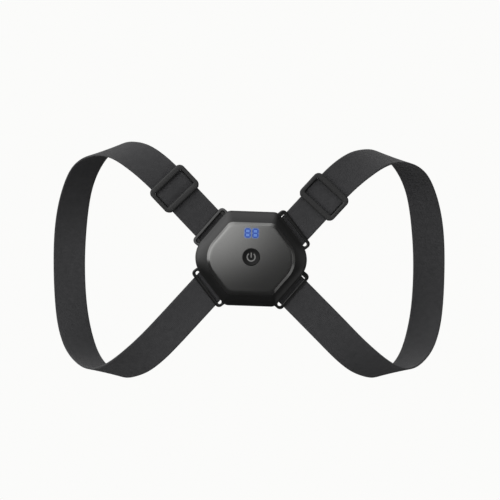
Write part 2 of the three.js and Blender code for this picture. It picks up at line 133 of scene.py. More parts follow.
def loft(rings, closed=False):
    """Points and faces through rings from back to front. A closed loft joins its last ring to its first."""
    count = len(rings[0])
    points = [point for ring in rings for point in ring]
    faces = []
    for k in range(len(rings) if closed else len(rings) - 1):
        here, ahead = k * count, (k + 1) % len(rings) * count
        for i in range(count):
            following = (i + 1) % count
            faces.append((here + i, here + following, ahead + following, ahead + i))
    if not closed:
        faces.append(tuple(reversed(range(count))))
        faces.append(tuple(range((len(rings) - 1) * count, len(rings) * count)))
    return points, faces


def moved(part, matrix):
    points, faces = part
    return [tuple(matrix @ Vector(point)) for point in points], faces


def piece(name, *parts, sharp=35):
    """One object from closed parts in millimetres, smooth except over edges sharper than the angle given."""
    points, faces = [], []
    for part_points, part_faces in parts:
        start = len(points)
        points += [tuple(c * MM for c in point) for point in part_points]
        faces += [tuple(start + index for index in face) for face in part_faces]
    mesh = bpy.data.meshes.new(name)
    mesh.from_pydata(points, [], faces)
    mesh.shade_smooth()
    mesh.set_sharp_from_angle(angle=math.radians(sharp))
    made = bpy.data.objects.new(name, mesh)
    bpy.context.scene.collection.objects.link(made)
    return made


def node_group(name, inputs, outputs):
    """An empty shader node group with the sockets named."""
    group = bpy.data.node_groups.new(name, "ShaderNodeTree")
    for label, value in inputs.items():
        group.interface.new_socket(label, in_out="INPUT", socket_type="NodeSocketFloat").default_value = value
    for label in outputs:
        group.interface.new_socket(label, in_out="OUTPUT", socket_type="NodeSocketFloat")
    return group, group.nodes.new("NodeGroupInput"), group.nodes.new("NodeGroupOutput")


def math_node(nodes, links, operation, *values):
    """A Math node whose inputs are sockets or numbers. Returns its output."""
    node = nodes.new("ShaderNodeMath")
    node.operation = operation
    for socket, value in zip(node.inputs, values):
        if isinstance(value, (int, float)):
            socket.default_value = value
        else:
            links.new(value, socket)
    return node.outputs[0]


def grain_group():
    """Moulded grain: fine pits for the height and slow patches for the roughness, from Object coordinates."""
    group, given, result = node_group(
        "Moulded grain", {"Grain size": 0.0004, "Roughness": 0.4, "Patchiness": 0.05}, ["Height", "Roughness"]
    )
    nodes, links = group.nodes, group.links
    place = nodes.new("ShaderNodeTexCoord")
    scale = math_node(nodes, links, "DIVIDE", 1.0, given.outputs["Grain size"])
    pits = nodes.new("ShaderNodeTexNoise")
    pits.inputs["Detail"].default_value = 2.0
    links.new(place.outputs["Object"], pits.inputs["Vector"])
    links.new(scale, pits.inputs["Scale"])
    patches = nodes.new("ShaderNodeTexNoise")
    patches.inputs["Scale"].default_value = 60.0
    patches.inputs["Detail"].default_value = 3.0
    links.new(place.outputs["Object"], patches.inputs["Vector"])
    centred = math_node(nodes, links, "SUBTRACT", patches.outputs["Fac"], 0.5)
    swing = math_node(nodes, links, "MULTIPLY", centred, given.outputs["Patchiness"])
    links.new(pits.outputs["Fac"], result.inputs["Height"])
    links.new(math_node(nodes, links, "ADD", given.outputs["Roughness"], swing), result.inputs["Roughness"])
    return group


GRAIN = grain_group()


def moulded(name, colour, roughness, specular, grain, depth, patchiness=0.06, metallic=0.0):
    """A moulded or painted finish with its own grain size and depth, in metres."""
    material = bpy.data.materials.new(name)
    material.use_nodes = True
    nodes, links = material.node_tree.nodes, material.node_tree.links
    shader = nodes["Principled BSDF"]
    shader.inputs["Base Color"].default_value = (*colour, 1)
    shader.inputs["Metallic"].default_value = metallic
    shader.inputs["Specular IOR Level"].default_value = specular
    finish = nodes.new("ShaderNodeGroup")
    finish.node_tree = GRAIN
    finish.inputs["Grain size"].default_value = grain
    finish.inputs["Roughness"].default_value = roughness
    finish.inputs["Patchiness"].default_value = patchiness
    bump = nodes.new("ShaderNodeBump")
    bump.inputs["Distance"].default_value = depth
    bump.inputs["Strength"].default_value = 1.0
    links.new(finish.outputs["Height"], bump.inputs["Height"])
    links.new(finish.outputs["Roughness"], shader.inputs["Roughness"])
    links.new(bump.outputs["Normal"], shader.inputs["Normal"])
    return material


def rounded_edge(outline, radius, back, front, steps=6):
    """Rings that turn from the upright side over a round edge to the front."""
    rings = []
    for i in range(steps + 1):
        angle = math.pi / 2 * i / steps
        inset = radius * (1 - math.cos(angle))
        rings.append(at_depth(hexagon(outline, inset), back + (front - back) * math.sin(angle)))
    return rings


bezel_foot = hexagon(HOUSING, RIM_ROUND)
bezel_head = hexagon(PANEL, -PANEL_SEAM)
shell_rings = [at_depth(hexagon(HOUSING, SHELL_BACK_EDGE), SHELL_BACK)]
shell_rings.append(at_depth(hexagon(HOUSING), SHELL_BACK - SHELL_BACK_EDGE))
shell_rings += rounded_edge(HOUSING, RIM_ROUND, RIM_FRONT + RIM_ROUND, RIM_FRONT)
for i in range(1, BEZEL_STEPS + 1):
    share = i / BEZEL_STEPS
    height = RIM_FRONT + (BEZEL_FRONT - RIM_FRONT) * share - BEZEL_BULGE * 4 * share * (1 - share)
    shell_rings.append(at_depth(between(bezel_foot, bezel_head, share), height))
shell_rings.append(at_depth(bezel_head, RECESS_FLOOR))
body = loft(shell_rings)

slot_to_edge = SLOT_WIDTH / 2 + SLOT_SEAT
slot_half = SLOT_WIDTH / 2
ear_half = SLOT_LENGTH / 2 + EAR_END
ear_outer = rounded_rectangle(-slot_half - EAR_ROOT, slot_half + EAR_BAR, -ear_half, ear_half, EAR_CORNER)
ear_inner = rounded_rectangle(-slot_half, slot_half, -SLOT_LENGTH / 2, SLOT_LENGTH / 2, slot_half)
# Cross-section of the ear's ring, as shares of its width from outside to slot and of its height
EAR_SECTION = [
    (0, 0),
    (0, 0.5),
    (0.05, 0.72),
    (0.15, 0.88),
    (0.3, 0.98),
    (0.5, 1),
    (0.7, 0.98),
    (0.85, 0.9),
    (0.95, 0.76),
    (1, 0.55),
    (1, 0),
]


def framed(outer, inner, section, back, front):
    """A closed frame between two outlines, with the section's shares across and up."""
    rings = [at_depth(between(outer, inner, share), back + (front - back) * up) for share, up in section]
    return loft(rings, closed=True)


ear_points, ear_faces = framed(ear_outer, ear_inner, EAR_SECTION, EAR_BACK, EAR_FRONT)
ear_height = EAR_BACK - EAR_FRONT
ear = [(x, y + EAR_SLOPE * x * (EAR_BACK - y) / ear_height, z) for x, y, z in ear_points], ear_faces
pocket_half = SLOT_LENGTH / 2 - POCKET_INSET
pocket_start = -slot_to_edge - POCKET_DEPTH
pocket_ring = rounded_rectangle(pocket_start, CUT_RUN, -pocket_half, pocket_half, POCKET_CORNER, 2)
pocket = loft([at_depth(pocket_ring, SHELL_BACK + CUT_RUN), at_depth(pocket_ring, EAR_BACK)])


def lug_place(side, upward):
    """Where a lug sits: the slot's middle, turned so that local X points out of the housing."""
    sine, cosine = math.sin(DIAGONAL_NORMAL), math.cos(DIAGONAL_NORMAL)
    distance = HOUSING["diagonal"] + slot_to_edge
    x = side * (distance * cosine + EAR_SHIFT * sine)
    z = upward * (distance * sine - EAR_SHIFT * cosine)
    return Matrix.Translation((x, 0, z)) @ Matrix.Rotation(-math.atan2(upward * sine, side * cosine), 4, "Y")


LUGS = {(side, upward): lug_place(side, upward) for side in (-1, 1) for upward in (-1, 1)}


def cut(target, cutter):
    """Takes the cutter's solid out of the target and deletes the cutter."""
    modifier = target.modifiers.new("Cut", "BOOLEAN")
    modifier.object = cutter
    modifier.solver = "EXACT"
    result = bpy.data.meshes.new_from_object(target.evaluated_get(bpy.context.evaluated_depsgraph_get()))
    target.modifiers.clear()
    target.data = result
    bpy.data.objects.remove(cutter)


def copy_tree():
    """Geometry nodes that set a part on every point of a mesh, turned by the point's own turn."""
    tree = bpy.data.node_groups.new("Placed copies", "GeometryNodeTree")
    sockets = (("Places", "Geometry"), ("Part", "Object"), ("Finish", "Material"))
    for label, kind in sockets:
        tree.interface.new_socket(label, in_out="INPUT", socket_type=f"NodeSocket{kind}")
    tree.interface.new_socket("Geometry", in_out="OUTPUT", socket_type="NodeSocketGeometry")
    nodes, links = tree.nodes, tree.links
    given, result = nodes.new("NodeGroupInput"), nodes.new("NodeGroupOutput")
    part = nodes.new("GeometryNodeObjectInfo")
    links.new(given.outputs["Part"], part.inputs["Object"])
    turn = nodes.new("GeometryNodeInputNamedAttribute")
    turn.data_type = "FLOAT_VECTOR"
    turn.inputs["Name"].default_value = "turn"
    spread = nodes.new("GeometryNodeInstanceOnPoints")
    links.new(given.outputs["Places"], spread.inputs["Points"])
    links.new(part.outputs["Geometry"], spread.inputs["Instance"])
    links.new(turn.outputs["Attribute"], spread.inputs["Rotation"])
    real = nodes.new("GeometryNodeRealizeInstances")
    links.new(spread.outputs["Instances"], real.inputs["Geometry"])
    dressed = nodes.new("GeometryNodeSetMaterial")
    links.new(real.outputs["Geometry"], dressed.inputs["Geometry"])
    links.new(given.outputs["Finish"], dressed.inputs["Material"])
    links.new(dressed.outputs["Geometry"], result.inputs["Geometry"])
    return tree


def applied(target, tree, **values):
    """Runs a Geometry Nodes tree on the target, with its inputs set by name, and keeps the result."""
    modifier = target.modifiers.new(tree.name, "NODES")
    modifier.node_group = tree
    for item in tree.interface.items_tree:
        if item.in_out == "INPUT" and item.name in values:
            modifier[item.identifier] = values[item.name]
    made = bpy.data.meshes.new_from_object(target.evaluated_get(bpy.context.evaluated_depsgraph_get()))
    target.modifiers.clear()
    target.data = made


def copies(name, part, places, finish, sharp):
    """One object with a copy of the part at each place."""
    master = piece(f"{name}_master", part, sharp=sharp)
    mesh = bpy.data.meshes.new(name)
    mesh.from_pydata([place.to_translation() * MM for place in places], [], [])
    turn = mesh.attributes.new("turn", "FLOAT_VECTOR", "POINT")
    for row, place in zip(turn.data, places):
        row.vector = place.to_euler()
    made = bpy.data.objects.new(name, mesh)
    bpy.context.scene.collection.objects.link(made)
    applied(made, COPY_TREE, Part=master, Finish=finish)
    bpy.data.objects.remove(master)
    return made


COPY_TREE = copy_tree()
shell_plastic = moulded("Housing plastic", SHELL_COLOUR, SHELL_ROUGHNESS, SHELL_SPECULAR, 0.0005, 0.000006)
shell_body = piece("shell_body", body)
cut(shell_body, piece("pockets", *[moved(pocket, place) for place in LUGS.values()]))
shell_body.data.set_sharp_from_angle(angle=math.radians(35))
shell_body.data.materials.clear()
shell_body.data.materials.append(shell_plastic)
shell_ears = copies("shell_ears", ear, LUGS.values(), shell_plastic, sharp=60)
floors = []
floor_half = slot_half + CUT_RUN
for side, ends in EAR_FLOORS.items():
    for end, length in zip((-1, 1), ends):
        if length:
            low, high = sorted((end * (SLOT_LENGTH / 2 - length), end * (SLOT_LENGTH / 2 + EAR_END / 2)))
            floor_ring = rounded_rectangle(-floor_half, floor_half, low, high, POCKET_CORNER, 2)
            floor_block = loft([at_depth(floor_ring, EAR_BACK), at_depth(floor_ring, EAR_BACK - EAR_FLOOR)])
            floors.append(moved(floor_block, LUGS[side]))
slot_floors = piece("slot_floors", *floors)
slot_floors.data.materials.append(shell_plastic)
for made in (shell_body, shell_ears, slot_floors):
    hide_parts("front_shell")
    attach(made, "module")


# Face panel
# A raised plastic plate painted satin gunmetal, slightly domed, with a wide chamfer that catches the light.
# It is glued into the shell's recess, is bored for the button, and lets the display's light through.
PANEL_FRONT = -13.0
PANEL_CHAMFER = 2.0
PANEL_STEP = 0.05
PANEL_DOME = 1.0
PANEL_SOFT = 0.45
CHAMFER_RINGS = (0.02, 0.08)
FACE_RINGS = (0, 0.06, 0.15, 0.26, 0.38, 0.5, 0.62, 0.74, 0.85, 0.94, 1)
PANEL_EDGE_STEPS = 6
FACE_CORNER = 7.5
BUTTON_RADIUS = 6.3
BUTTON_UP = 1.2
BORE_GAP = 0.08
DIGIT_HEIGHT = 6.7
DIGIT_WIDTH = 4.4
DIGIT_SPACING = 5.5
DIGITS_UP = 18.3
DIGITS_ACROSS = -0.3
GLOW_REACH = 1.2
GLOW_CORE = 1.1
GLOW_COLOUR = (0.085, 0.19, 0.52)
GLOW_PAINT = (0.03, 0.03, 0.035)
PANEL_COLOUR = (0.1, 0.1, 0.098)
PANEL_ROUGHNESS = 0.22
PANEL_METALLIC = 0.93

face_outline = {**PANEL, "corner_radius": FACE_CORNER + PANEL_CHAMFER}
panel_edge = hexagon(PANEL)
panel_front = hexagon(face_outline, PANEL_CHAMFER)
half_width = max(x for x, z in panel_front)
half_height = PANEL["half_height"] - PANEL_CHAMFER


def face_at(x, z):
    """Height of the panel's domed face over a place."""
    return PANEL_FRONT - PANEL_DOME * (1 - (x / half_width) ** 2 - (z / half_height) ** 2)


def on_face(points):
    return [(x, face_at(x, z), z) for x, z in points]


def soft_corner(before, corner, after, steps):
    """Rings that round off the corner between two rings, without the first and the last."""
    rings = []
    for i in range(1, steps):
        share = i / steps
        rings.append(between(between(before, corner, share), between(corner, after, share), share))
    return rings


angles = [math.atan2(z - BUTTON_UP, x) for x, z in panel_front]
bore_radius = BUTTON_RADIUS + BORE_GAP
bore = [(bore_radius * math.cos(a), BUTTON_UP + bore_radius * math.sin(a)) for a in angles]
panel_back = RECESS_FLOOR - FIT_GAP
chamfer_foot = at_depth(panel_edge, BEZEL_FRONT - PANEL_STEP)
chamfer_head = on_face(panel_front)
soft_start = between(chamfer_head, chamfer_foot, PANEL_SOFT / PANEL_CHAMFER)
soft_end = hexagon(face_outline, PANEL_CHAMFER + PANEL_SOFT)
panel_rings = [at_depth(bore, panel_back), at_depth(panel_edge, panel_back)]
panel_rings.append(at_depth(panel_edge, BEZEL_FRONT))
panel_rings += [between(chamfer_foot, chamfer_head, share) for share in CHAMFER_RINGS]
panel_rings += [between(chamfer_foot, soft_start, 0.5), soft_start]
panel_rings += soft_corner(soft_start, chamfer_head, on_face(soft_end), PANEL_EDGE_STEPS)
panel_rings += [on_face(between(soft_end, bore, share)) for share in FACE_RINGS]
face = piece("panel_face", loft(panel_rings, closed=True), sharp=50)

satin = moulded(
    "Panel satin paint", PANEL_COLOUR, PANEL_ROUGHNESS, 0.5, 0.0003, 0.000002,
    metallic=PANEL_METALLIC, patchiness=0.03,
)


def add_glow(material):
    """The display's light spreads a little through the paint, over and round each of the two digits."""
    nodes, links = material.node_tree.nodes, material.node_tree.links
    place = nodes.new("ShaderNodeTexCoord")
    centred = nodes.new("ShaderNodeMapping")
    centred.inputs["Location"].default_value = (-DIGITS_ACROSS * MM, 0, -DIGITS_UP * MM)
    split = nodes.new("ShaderNodeSeparateXYZ")
    links.new(place.outputs["Object"], centred.inputs["Vector"])
    links.new(centred.outputs["Vector"], split.inputs["Vector"])
    beside = math_node(nodes, links, "ABSOLUTE", split.outputs["X"])
    beside = math_node(nodes, links, "SUBTRACT", beside, DIGIT_SPACING / 2 * MM)
    core = GLOW_CORE * MM
    outside = []
    for offset, size in ((beside, DIGIT_WIDTH), (split.outputs["Z"], DIGIT_HEIGHT)):
        away = math_node(nodes, links, "ABSOLUTE", offset)
        away = math_node(nodes, links, "SUBTRACT", away, size / 2 * MM - core)
        away = math_node(nodes, links, "MAXIMUM", away, 0.0)
        outside.append(math_node(nodes, links, "POWER", away, 2.0))
    distance = math_node(nodes, links, "SQRT", math_node(nodes, links, "ADD", *outside))
    distance = math_node(nodes, links, "SUBTRACT", distance, core)
    fade = nodes.new("ShaderNodeMapRange")
    fade.interpolation_type = "SMOOTHERSTEP"
    fade.inputs["From Min"].default_value = -core
    fade.inputs["From Max"].default_value = GLOW_REACH * MM
    fade.inputs["To Min"].default_value = 1.0
    fade.inputs["To Max"].default_value = 0.0
    links.new(distance, fade.inputs["Value"])
    tint = nodes.new("ShaderNodeMix")
    tint.data_type = "RGBA"
    tint.inputs[6].default_value = (0, 0, 0, 1)
    tint.inputs[7].default_value = (*GLOW_COLOUR, 1)
    links.new(fade.outputs["Result"], tint.inputs[0])
    shader = nodes["Principled BSDF"]
    links.new(tint.outputs[2], shader.inputs["Emission Color"])
    shader.inputs["Emission Strength"].default_value = 1.0
    paint = nodes.new("ShaderNodeMix")
    paint.data_type = "RGBA"
    paint.inputs[6].default_value = (*PANEL_COLOUR, 1)
    paint.inputs[7].default_value = (*GLOW_PAINT, 1)
    links.new(fade.outputs["Result"], paint.inputs[0])
    links.new(paint.outputs[2], shader.inputs["Base Color"])


add_glow(satin)
face.data.materials.append(satin)
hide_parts("face_panel")
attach(face, "module")


# Display digits
# Two seven-segment figures, all segments lit, that shine blue through the panel's paint.
# Each is a set of flat bars with pointed ends, laid on the panel's face by one set of nodes.
SEGMENT_STROKE = 0.95
SEGMENT_GAP = 0.1
DIGIT_RELIEF = 0.03
DIGIT_SUNK = 0.05
DISPLAY_BLUE = (0.014, 0.045, 0.24)
UNLIT_BLUE = (0.01, 0.02, 0.08)

across = (DIGIT_WIDTH - SEGMENT_STROKE) / 2
rise = (DIGIT_HEIGHT - SEGMENT_STROKE) / 2
level_half = across - SEGMENT_GAP
upright_half = rise / 2 - SEGMENT_GAP


def segment(half):
    """One bar with pointed ends along X, centred on the origin and facing forwards."""
    thick = SEGMENT_STROKE / 2
    outline = [(half, 0), (half - thick, thick), (thick - half, thick)]
    outline += [(-x, -z) for x, z in outline]
    return loft([at_depth(outline, DIGIT_SUNK), at_depth(outline, -DIGIT_RELIEF)])


def on_panel(x, z, turn):
    """Where a bar lies on the panel's face, square to the dome."""
    slope = Vector((-2 * PANEL_DOME * x / half_width**2, 1, -2 * PANEL_DOME * z / half_height**2))
    tilt = Vector((0, 1, 0)).rotation_difference(slope).to_matrix().to_4x4()
    return Matrix.Translation((x, face_at(x, z), z)) @ tilt @ Matrix.Rotation(turn, 4, "Y")


middles = [DIGITS_ACROSS + digit * DIGIT_SPACING / 2 for digit in (-1, 1)]
level_places = [on_panel(x, DIGITS_UP + z, 0) for x in middles for z in (-rise, 0, rise)]
upright_places = [
    on_panel(x + side, DIGITS_UP + z, math.pi / 2)
    for x in middles
    for side in (-across, across)
    for z in (-rise / 2, rise / 2)
]
lit = bpy.data.materials.new("Lit blue")
lit.use_nodes = True
lit_shader = lit.node_tree.nodes["Principled BSDF"]
lit_shader.inputs["Base Color"].default_value = (*UNLIT_BLUE, 1)
lit_shader.inputs["Specular IOR Level"].default_value = 0.1
lit_shader.inputs["Emission Color"].default_value = (*DISPLAY_BLUE, 1)
lit_shader.inputs["Emission Strength"].default_value = 1.0
level_bars = copies("level_bars", segment(level_half), level_places, lit, sharp=30)
upright_bars = copies("upright_bars", segment(upright_half), upright_places, lit, sharp=30)
for made in (level_bars, upright_bars):
    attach(made, "module")


# Power button
# A glossy black plastic disc, dished for the fingertip. Its flange keeps it in the panel's bore, and it presses
# in half a millimetre. A grey power symbol is printed on it: an open ring with a bar in the opening.
BUTTON_FRONT = -13.9
BUTTON_BACK = -10.4
BUTTON_DISH = 0.35
BUTTON_ROUND = 0.4
BUTTON_FLANGE = 1.0
FLANGE_THICKNESS = 0.8
BUTTON_STEPS = 96
ROUND_STEPS = 6
DISH_RINGS = (5.6, 5.0, 4.0, 3.0, 2.0, 1.0, 0.3)
BUTTON_COLOUR = (0.0025, 0.0025, 0.0025)
SYMBOL_RADIUS = 2.85
SYMBOL_STROKE = 0.85
SYMBOL_OPENING = math.radians(36)
SYMBOL_BAR_TOP = 3.2
SYMBOL_BAR_LOW = -0.4
SYMBOL_RELIEF = 0.02
SYMBOL_SUNK = 0.05
SYMBOL_COLOUR = (0.12, 0.12, 0.117)
RING_STEPS = 48
BAR_STEPS = 8


def dish(radius):
    """Place of the button's dished front at a distance from its middle."""
    share = min(radius / (BUTTON_RADIUS - BUTTON_ROUND), 1.0)
    return BUTTON_FRONT + BUTTON_DISH * (1 - share * share)


def circle(radius, y):
    turns = [2 * math.pi * i / BUTTON_STEPS for i in range(BUTTON_STEPS)]
    return [(radius * math.cos(a), y, BUTTON_UP + radius * math.sin(a)) for a in turns]


flange_front = BUTTON_BACK - FLANGE_THICKNESS
flange_radius = BUTTON_RADIUS + BUTTON_FLANGE
button_rings = [circle(flange_radius, BUTTON_BACK), circle(flange_radius, flange_front)]
button_rings.append(circle(BUTTON_RADIUS, flange_front))
for i in range(ROUND_STEPS + 1):
    angle = math.pi / 2 * i / ROUND_STEPS
    inset, height = BUTTON_ROUND * (1 - math.cos(angle)), BUTTON_ROUND * (1 - math.sin(angle))
    button_rings.append(circle(BUTTON_RADIUS - inset, BUTTON_FRONT + height))
button_rings += [circle(radius, dish(radius)) for radius in DISH_RINGS]
button = piece("button_cap", loft(button_rings))
gloss = moulded("Button gloss", BUTTON_COLOUR, 0.42, 0.15, 0.0006, 0.000002, patchiness=0.04)
button.data.materials.append(gloss)
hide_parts("power_button")
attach(button, "power_button")


def laid_on_button(rows):
    """A thin print on the dished front through rows of places in the front plane."""
    count = len(rows[0])
    back = [(x, dish(math.hypot(x, z)) + SYMBOL_SUNK, z + BUTTON_UP) for row in rows for x, z in row]
    front = [(x, dish(math.hypot(x, z)) - SYMBOL_RELIEF, z + BUTTON_UP) for row in rows for x, z in row]
    faces, top = [], len(back)
    for r in range(len(rows) - 1):
        for i in range(count - 1):
            a, b, c, d = r * count + i, r * count + i + 1, (r + 1) * count + i + 1, (r + 1) * count + i
            faces += [(a, b, c, d), (top + d, top + c, top + b, top + a)]
    last = len(rows) - 1
    rim = list(range(count)) + [r * count + count - 1 for r in range(1, last)]
    rim += [last * count + i for i in range(count - 1, -1, -1)] + [r * count for r in range(last - 1, 0, -1)]
    for a, b in zip(rim, rim[1:] + rim[:1]):
        faces.append((b, a, top + a, top + b))
    return back + front, faces


radii = [SYMBOL_RADIUS + SYMBOL_STROKE * share for share in (-0.5, 0, 0.5)]
widths = [SYMBOL_STROKE * share for share in (0.5, 0, -0.5)]
ring_rows, bar_rows = [], []
for i in range(RING_STEPS + 1):
    angle = math.pi / 2 + SYMBOL_OPENING + (2 * math.pi - 2 * SYMBOL_OPENING) * i / RING_STEPS
    ring_rows.append([(radius * math.cos(angle), radius * math.sin(angle)) for radius in radii])
for i in range(BAR_STEPS + 1):
    height = SYMBOL_BAR_LOW + (SYMBOL_BAR_TOP - SYMBOL_BAR_LOW) * i / BAR_STEPS
    bar_rows.append([(x, height) for x in widths])
symbol = piece("power_symbol", laid_on_button(ring_rows), laid_on_button(bar_rows))
print_grey = moulded("Printed grey", SYMBOL_COLOUR, 0.6, 0.3, 0.0002, 0.000004)
symbol.data.materials.append(print_grey)
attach(symbol, "power_button")


# Back cover
# The flat plate that closes the housing and rests on the wearer's back. It is moulded in finely textured
# black plastic, its edge is rounded towards the skin, and it is held from inside, so no fixing shows.
COVER_FRONT = -1.9
COVER_ROUND = 0.8
COVER_FLAT_INSET = COVER_ROUND * 1.6
COVER_EASE = 0.02
COVER_STEPS = 5
COVER_COLOUR = (0.012, 0.012, 0.012)

cover_rings = [at_depth(hexagon(HOUSING, COVER_FLAT_INSET), 0.0)]
cover_rings.append(at_depth(hexagon(HOUSING, COVER_ROUND), -COVER_EASE))
for i in range(1, COVER_STEPS + 1):
    angle = math.pi / 2 * i / COVER_STEPS
    inset = COVER_ROUND * (1 - math.sin(angle))
    cover_rings.append(at_depth(hexagon(HOUSING, inset), -COVER_ROUND * (1 - math.cos(angle)) - COVER_EASE))
cover_rings.append(at_depth(hexagon(HOUSING), COVER_FRONT))
cover = piece("cover_plate", loft(cover_rings), sharp=40)
cover_plastic = moulded("Cover plastic", COVER_COLOUR, 0.6, 0.4, 0.0007, 0.00002)
cover.data.materials.append(cover_plastic)
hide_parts("back_cover")
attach(cover, "module")


# Webbing straps
# Charcoal polyester webbing, 25 mm wide and 1.5 mm thick, woven with fine ribs across and a plain selvedge.
# Each band leaves the upper ear, threads its slider, and goes over the shoulder and under the arm to the
# lower ear. Its ends are held in the pockets behind the ears.
WEB_WIDTH = 25.0
WEB_THICKNESS = 1.5
WEB_MIDDLE = -2.95
WEB_TAIL = 7.0
WEB_LIFT = 0.6
LOOP_DEPTH = 92.0
LOOP_ROLL = math.radians(2)
LOOP_REACH = 142.4
LOOP_RISE = 78.9
LOOP_DROP = 85.8
SLIDER_ALONG = 35.2
LOOPS = {
    "left": {"side": -1, "reach": LOOP_REACH + 1.5, "rise": LOOP_RISE + 2.6, "slider": SLIDER_ALONG + 2.8},
    "right": {"side": 1, "reach": LOOP_REACH - 1.5, "rise": LOOP_RISE - 3.0, "slider": SLIDER_ALONG - 2.8},
}
# Out, up and back as shares of reach, of rise or drop, and of depth, then the width line's fold and lean in
# degrees
WAY = [
    (0.46, 0.76, 0, 18, 0),
    (0.55, 0.885, 0.065, 18, 0),
    (0.65, 0.98, 0.215, 19, 0),
    (0.76, 1, 0.5, 20, 0),
    (0.872, 0.905, 0.8, 14, 18),
    (0.947, 0.686, 0.945, 6, 28),
    (0.988, 0.357, 1, 1, 14),
    (1, -0.04, 1, 0, 0),
    (0.99, -0.43, 1, -2, 2),
    (0.955, -0.71, 0.945, -6, 12),
    (0.885, -0.91, 0.795, -11, 16),
    (0.768, -1, 0.49, -13, 0),
    (0.647, -0.94, 0.185, -13, 0),
    (0.53, -0.8, 0.045, -13, 0),
    (0.428, -0.634, 0, -13, 0),
]
RIB_PITCH = 1.0
RIB_HEIGHT = 0.08
RIB_STEPS = 4
SELVEDGE = 1.3
YARN_PITCH = 0.9
WEAVE_DEPTH = 0.08
WEB_DARK = (0.022, 0.022, 0.023)
WEB_PALE = (0.026, 0.026, 0.027)
CURVE_PASSES = 12
FINE_STEPS = 40
WINDOW_MIDDLE = -0.05
WINDOW_LENGTH = 13.3
MIDDLE_BAR = 4.5


def turned(x, y, z):
    cosine, sine = math.cos(LOOP_ROLL), math.sin(LOOP_ROLL)
    return Vector((x * cosine - z * sine, y, x * sine + z * cosine))


def strap_sections(loop):
    """Places and width lines from the upper tail round the shoulder to the lower tail, how many at each end
    keep their place, and the straight run at the upper ear."""
    side = loop["side"]
    loop_round = []
    for out, up, back, fold, lean in WAY:
        fold, lean = math.radians(fold), math.radians(lean)
        height = up * (loop["rise"] if up > 0 else LOOP_DROP)
        place = turned(side * out * loop["reach"], WEB_MIDDLE + back * LOOP_DEPTH, height)
        flat = math.cos(lean)
        across = turned(math.cos(fold) * flat, -side * math.sin(lean), -side * math.sin(fold) * flat)
        loop_round.append((place, across))
    runs = []
    for upward, (place, across) in ((1, loop_round[0]), (-1, loop_round[-1])):
        slot = LUGS[side, upward].to_translation()
        slot.y = WEB_MIDDLE
        runs.append((slot, (place - slot).normalized(), (place - slot).length, across))
    upper, lower = runs
    tail = slot_to_edge + WEB_TAIL
    start = [(upper[0] + upper[1] * d, upper[3]) for d in (-tail, 0, loop["slider"])]
    end = [(lower[0] + lower[1] * d, lower[3]) for d in (lower[2] / 2, 0, -tail)]
    return start + loop_round + end, len(start) + 1, len(end) + 1, upper


def smooth_line(sections, fixed_start, fixed_end):
    """Handles of the cubic B-spline that passes through every section between the straight ends."""
    wanted = [[*place, *across] for place, across in sections]
    handles = [list(row) for row in wanted]
    for _ in range(CURVE_PASSES):
        for i in range(fixed_start, len(handles) - fixed_end):
            before, here, after = handles[i - 1], handles[i], handles[i + 1]
            handles[i] = [v + wanted[i][k] - (before[k] + 4 * v + after[k]) / 6 for k, v in enumerate(here)]
    first = [2 * a - b for a, b in zip(handles[0], handles[1])]
    last = [2 * a - b for a, b in zip(handles[-1], handles[-2])]
    return [first, *handles, last]


def point_on(handles, span, t):
    weights = ((1 - t) ** 3, 3 * t**3 - 6 * t**2 + 4, -3 * t**3 + 3 * t**2 + 3 * t + 1, t**3)
    sums = [sum(w * handles[span + i][k] for i, w in enumerate(weights)) / 6 for k in range(6)]
    return Vector(sums[:3]), Vector(sums[3:])


def stations(handles, step):
    """Even steps along the smooth line, each with its distance from the start."""
    spans = range(len(handles) - 3)
    fine = [point_on(handles, span, i / FINE_STEPS) for span in spans for i in range(FINE_STEPS)]
    fine.append(point_on(handles, spans[-1], 1))
    travelled = [0.0]
    for (a, _), (b, _) in zip(fine, fine[1:]):
        travelled.append(travelled[-1] + (b - a).length)
    count = round(travelled[-1] / step)
    result, k = [], 0
    for i in range(count + 1):
        distance = travelled[-1] * i / count
        while k < len(fine) - 2 and travelled[k + 1] < distance:
            k += 1
        share = (distance - travelled[k]) / (travelled[k + 1] - travelled[k])
        place = fine[k][0].lerp(fine[k + 1][0], share)
        result.append((distance, place, fine[k][1].lerp(fine[k + 1][1], share)))
    return result


def web_lift(distance):
    """How far the webbing stands out over the slider's middle bar."""
    flat = MIDDLE_BAR / 2
    run = WINDOW_LENGTH / 2 - flat - FIT_GAP
    share = min(max((abs(distance) - flat) / run, 0.0), 1.0)
    return WEB_LIFT * (0.5 + 0.5 * math.cos(math.pi * share))


half_web, half_thick = WEB_WIDTH / 2, WEB_THICKNESS / 2
# Half of the band's cross-section, from its edge inwards: distance from the middle and share of the thickness
WEB_SECTION = [
    (half_web, 0),
    (half_web - 0.12, 0.72),
    (half_web - 0.4, 0.95),
    (half_web - SELVEDGE, 1.0),
    (half_web - SELVEDGE - 0.5, 0.9),
    (0, 0.9),
]
web_front = [(a, b * half_thick) for a, b in WEB_SECTION]
web_front += [(-a, b) for a, b in reversed(web_front[:-1])]
web_ring = web_front + [(a, -b) for a, b in reversed(web_front[1:-1])]


